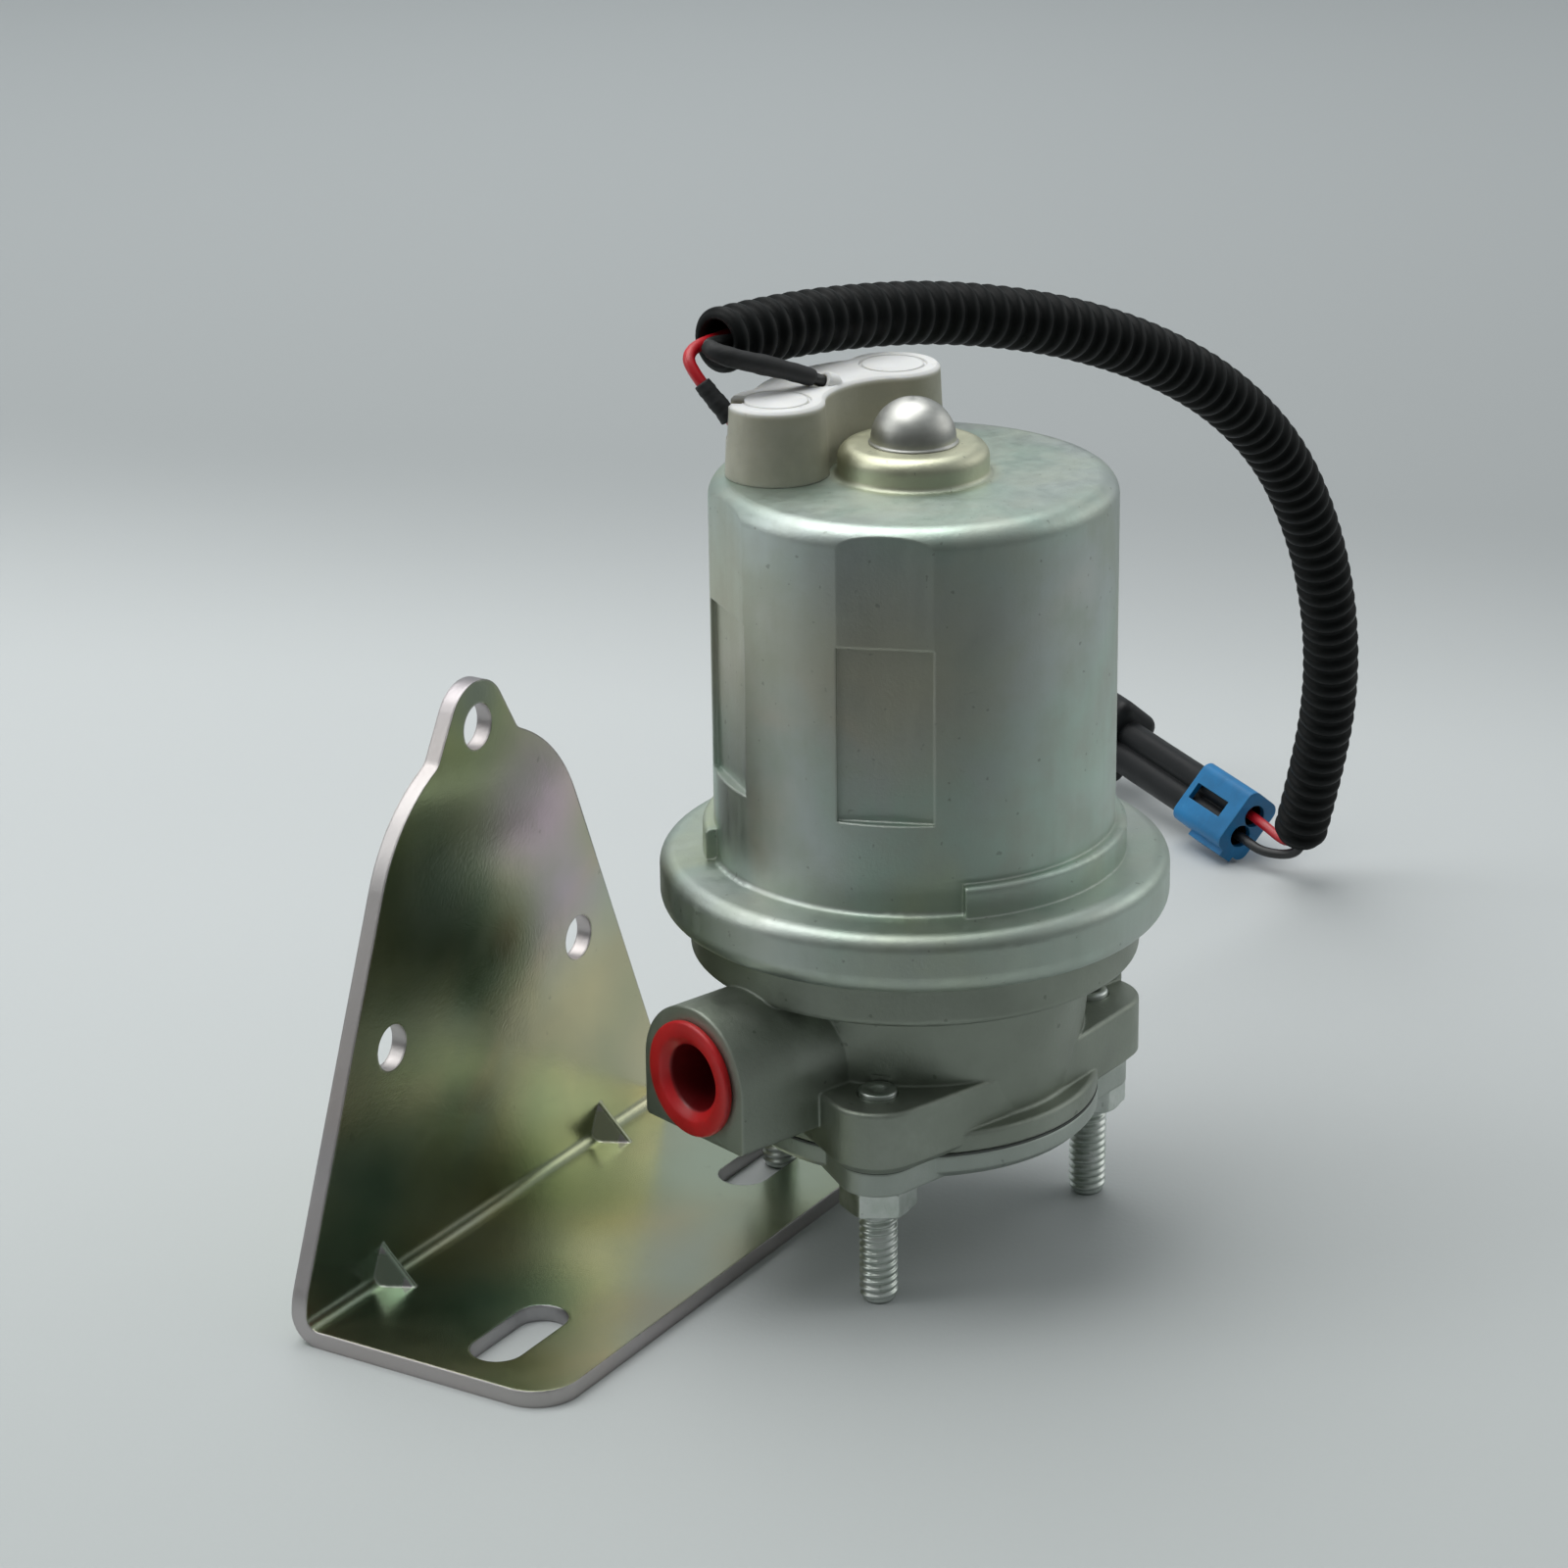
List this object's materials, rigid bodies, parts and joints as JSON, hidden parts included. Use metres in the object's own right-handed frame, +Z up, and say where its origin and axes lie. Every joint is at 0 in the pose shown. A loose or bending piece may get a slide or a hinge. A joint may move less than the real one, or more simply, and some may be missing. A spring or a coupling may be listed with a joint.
{
  "type": "electric fuel pump",
  "caption": "Electric fuel pump: drawn motor can on a die-cast gear pump body with side ports, hanging studs, wiring lead in conduit with a plug, and a loose L-shaped mounting bracket.",
  "frame": {"origin": "on the motor axis, centre of the mounting stud circle, in the plane of the stud tips", "axes": "+Z up the motor axis towards the bearing cap; -X out of the inlet port"},
  "size_m": [0.2862, 0.175, 0.1567],
  "materials": {
    "can_zinc": "satin zinc plate",
    "bright_steel": "bright",
    "ivory_plastic": "moulded, slightly translucent",
    "die_cast": "cast, satin",
    "cover_plate": "cast, satin",
    "gasket": "matte",
    "stud_zinc": "zinc plate",
    "plug_red": "soft moulded",
    "conduit_black": "satin",
    "wire_red": "satin",
    "wire_black": "satin",
    "sleeve_black": "matte",
    "connector_black": "satin",
    "lock_blue": "satin",
    "seal_orange": "matte",
    "terminal_tin": "tin plate",
    "bracket_zinc": "yellow zinc, iridescent",
    "shaft_steel": "ground",
    "lamination": "stacked sheet",
    "copper": "enamelled wire",
    "magnet": "sintered",
    "carbon": "pressed carbon",
    "brass_part": "satin",
    "phenolic": "moulded",
    "bronze": "sintered",
    "nitrile": "matte",
    "gear_steel": "sintered",
    "spring_steel": "drawn wire"
  },
  "bodies": {
    "pump": {"motor_can": "can_zinc", "bearing_cap": "bright_steel", "terminal_cover": "ivory_plastic", "pump_body": "die_cast", "bottom_cover": "cover_plate", "body_gasket": "gasket", "mounting_studs": "stud_zinc", "conduit": "conduit_black", "wire_red": "wire_red", "wire_black": "wire_black", "sleeve_red": "sleeve_black", "sleeve_black": "sleeve_black", "connector_body": "connector_black", "connector_seals": "seal_orange", "connector_terminals": "terminal_tin", "magnet_a": "magnet", "magnet_b": "magnet", "magnet_clips": "spring_steel", "brush_spring_a": "spring_steel", "brush_spring_b": "spring_steel", "brush_tubes": "brass_part", "brush_plate": "phenolic", "terminal_posts": "brass_part", "terminal_insulators": "phenolic", "ring_terminals": "terminal_tin", "terminal_nuts": "stud_zinc", "upper_bushing": "bronze", "bushing_retainer": "spring_steel", "lower_bushing": "bronze", "shaft_seal": "nitrile", "can_seal": "nitrile", "relief_spring": "spring_steel", "relief_screw": "stud_zinc"},
    "rotor": {"motor_shaft": "shaft_steel", "armature_core": "lamination", "armature_winding": "copper", "commutator": "copper", "thrust_washer": "phenolic", "inner_rotor": "gear_steel"},
    "outer_gear": {"outer_rotor": "gear_steel"},
    "brush_a": {"brush_a": "carbon"},
    "brush_b": {"brush_b": "carbon"},
    "relief_ball": {"relief_ball": "shaft_steel"},
    "inlet_plug": {"inlet_plug": "plug_red"},
    "outlet_plug": {"outlet_plug": "plug_red"},
    "connector_lock": {"connector_lock": "lock_blue"},
    "bracket": {"mounting_bracket": "bracket_zinc"}
  },
  "joints": [
    {"name": "rotor_spin", "type": "hinge", "parent": "pump", "child": "rotor", "pos_m": [0, 0, 0.06], "axis": [0, 0, 1], "continuous": true},
    {"name": "outer_gear_spin", "type": "hinge", "parent": "pump", "child": "outer_gear", "pos_m": [0, -0.0014, 0.03], "axis": [0, 0, 1], "continuous": true},
    {"name": "brush_a_slide", "type": "slide", "parent": "pump", "child": "brush_a", "axis": [0, 0, 1], "range_m": [0, 0.003], "stiffness_N_per_m": 150, "springref_m": -0.006, "deforming": ["brush_spring_a"]},
    {"name": "brush_b_slide", "type": "slide", "parent": "pump", "child": "brush_b", "axis": [0, 0, 1], "range_m": [0, 0.003], "stiffness_N_per_m": 150, "springref_m": -0.006, "deforming": ["brush_spring_b"]},
    {"name": "relief_ball_lift", "type": "slide", "parent": "pump", "child": "relief_ball", "axis": [0, 0, 1], "range_m": [0, 0.0025], "stiffness_N_per_m": 800, "springref_m": -0.003, "deforming": ["relief_spring"]},
    {"name": "inlet_plug_pull", "type": "slide", "parent": "pump", "child": "inlet_plug", "axis": [-1, 0, 0], "range_m": [0, 0.03]},
    {"name": "outlet_plug_pull", "type": "slide", "parent": "pump", "child": "outlet_plug", "axis": [1, 0, 0], "range_m": [0, 0.03]},
    {"name": "connector_lock_slide", "type": "slide", "parent": "pump", "child": "connector_lock", "axis": [-0.1779, -0.9788, -0.1011], "range_m": [0, 0.003]},
    {"name": "bracket_slide", "type": "slide", "parent": "pump", "child": "bracket", "axis": [0.9548, 0.2974, 0], "range_m": [-0.0008, 0.0115]}
  ],
  "couplings": [
    {"joint": "outer_gear_spin", "follows": "rotor_spin", "ratio": 0.85714}
  ]
}
